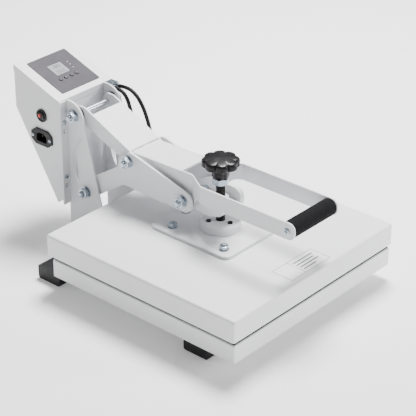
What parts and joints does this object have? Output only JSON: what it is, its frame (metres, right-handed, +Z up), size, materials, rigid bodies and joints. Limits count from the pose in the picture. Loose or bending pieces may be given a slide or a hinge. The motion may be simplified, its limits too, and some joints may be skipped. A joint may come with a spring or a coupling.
{
  "type": "heat press",
  "caption": "Clamshell heat press: square heated platen over a padded bed, folding lever with foam grip, pressure knob and control box.",
  "frame": {"origin": "middle of the footprint on the bench, under the whole press", "axes": "+Z up, +Y to the rear (control box), -Y to the operator, +X to the operator's right"},
  "size_m": [0.392, 0.598, 0.288],
  "materials": {
    "white_paint": "satin powder coat",
    "platen_paint": "satin white paint",
    "hot_metal": "machined",
    "black_paint": "satin black",
    "zinc": "zinc plated",
    "black_oxide": "black oxide",
    "silicone": "matt",
    "foam": "matt foam",
    "black_plastic": "matt",
    "phenolic": "glossy",
    "panel_grey": "satin film",
    "window": "clear over a grey display",
    "lamp": "translucent",
    "button_dark": "satin",
    "board_green": "laminate",
    "blanket": "glass fibre",
    "contacts": "plated",
    "cable_jacket": "matt braid"
  },
  "bodies": {
    "stand": {"front_foot_tube": "black_paint", "rear_foot_tube": "black_paint", "foot_end_caps": "black_plastic", "base_rails": "black_paint", "lower_platen": "platen_paint", "silicone_pad": "silicone", "stand_plate_left": "white_paint", "stand_plate_right": "white_paint", "stand_foot": "black_paint", "main_pivot_shaft": "zinc", "top_pivot_studs": "zinc", "stand_nuts": "zinc", "link_spacers": "black_plastic", "box_screws": "zinc", "control_box_shell": "white_paint", "control_box_lid": "white_paint", "control_panel": "panel_grey", "display_window": "window", "indicator_lamps": "lamp", "control_board": "board_green", "heater_relay": "black_plastic", "switch_housing": "black_plastic", "power_inlet": "black_plastic", "inlet_pins": "contacts", "cable_gland": "zinc", "heater_cable": "cable_jacket", "sensor_cable": "cable_jacket"},
    "press_arm": {"arm_plate_left": "white_paint", "arm_plate_right": "white_paint", "arm_axles": "zinc", "arm_nuts": "zinc", "arm_spacers": "zinc", "crosshead": "white_paint"},
    "lever": {"lever_side_left": "white_paint", "lever_side_right": "white_paint", "lever_web": "white_paint", "fold_pin": "zinc", "grip_tube": "zinc", "foam_grip": "foam", "grip_screws": "zinc"},
    "link": {"upper_link": "white_paint", "link_end_shaft": "zinc"},
    "platen": {"platen_cover": "white_paint", "heating_plate": "hot_metal", "heating_element": "zinc", "insulation_blanket": "blanket", "temperature_sensor": "zinc", "mounting_plate": "white_paint", "mounting_studs": "zinc", "hub": "white_paint", "hub_retainer": "white_paint", "hub_screws": "black_oxide"},
    "screw_set": {"pressure_screw": "black_oxide", "jam_nut": "zinc", "star_knob": "phenolic"},
    "rocker": {"switch_rocker": "black_plastic"},
    "key_1": {"button_1": "button_dark"},
    "key_2": {"button_2": "button_dark"},
    "key_3": {"button_3": "button_dark"},
    "key_4": {"button_4": "button_dark"}
  },
  "joints": [
    {"name": "press_open", "type": "hinge", "parent": "stand", "child": "press_arm", "pos_m": [0, 0.1534, 0.0935], "axis": [-1, 0, 0], "range_deg": [0, 17], "deforming": ["heater_cable", "sensor_cable"]},
    {"name": "handle_lift", "type": "hinge", "parent": "press_arm", "child": "lever", "pos_m": [0, -0.0585, 0.15], "axis": [-1, 0, 0], "range_deg": [0, 32.2]},
    {"name": "link_fold", "type": "hinge", "parent": "lever", "child": "link", "pos_m": [0, 0.057, 0.19], "axis": [1, 0, 0], "range_deg": [0, 72.2]},
    {"name": "pressure_slide", "type": "slide", "parent": "press_arm", "child": "platen", "axis": [0, 0, 1], "range_m": [0, 0.005]},
    {"name": "knob_turn", "type": "hinge", "parent": "platen", "child": "screw_set", "pos_m": [0, -0.103, 0.2], "axis": [0, 0, 1], "range_deg": [0, 720]},
    {"name": "switch_rock", "type": "hinge", "parent": "stand", "child": "rocker", "pos_m": [-0.0575, 0.236, 0.2137], "axis": [0, 1, 0], "range_deg": [0, 14]},
    {"name": "button_1_press", "type": "slide", "parent": "stand", "child": "key_1", "axis": [0, 0.3269, -0.945], "range_m": [0, 0.0008], "stiffness_N_per_m": 500, "springref_m": -0.0008},
    {"name": "button_2_press", "type": "slide", "parent": "stand", "child": "key_2", "axis": [0, 0.3269, -0.945], "range_m": [0, 0.0008], "stiffness_N_per_m": 500, "springref_m": -0.0008},
    {"name": "button_3_press", "type": "slide", "parent": "stand", "child": "key_3", "axis": [0, 0.3269, -0.945], "range_m": [0, 0.0008], "stiffness_N_per_m": 500, "springref_m": -0.0008},
    {"name": "button_4_press", "type": "slide", "parent": "stand", "child": "key_4", "axis": [0, 0.3269, -0.945], "range_m": [0, 0.0008], "stiffness_N_per_m": 500, "springref_m": -0.0008}
  ],
  "couplings": [
    {"joint": "handle_lift", "follows": "press_open", "ratio": 1.89},
    {"joint": "link_fold", "follows": "press_open", "ratio": 4.24},
    {"joint": "knob_turn", "follows": "pressure_slide", "rad_per_m": 2513}
  ]
}
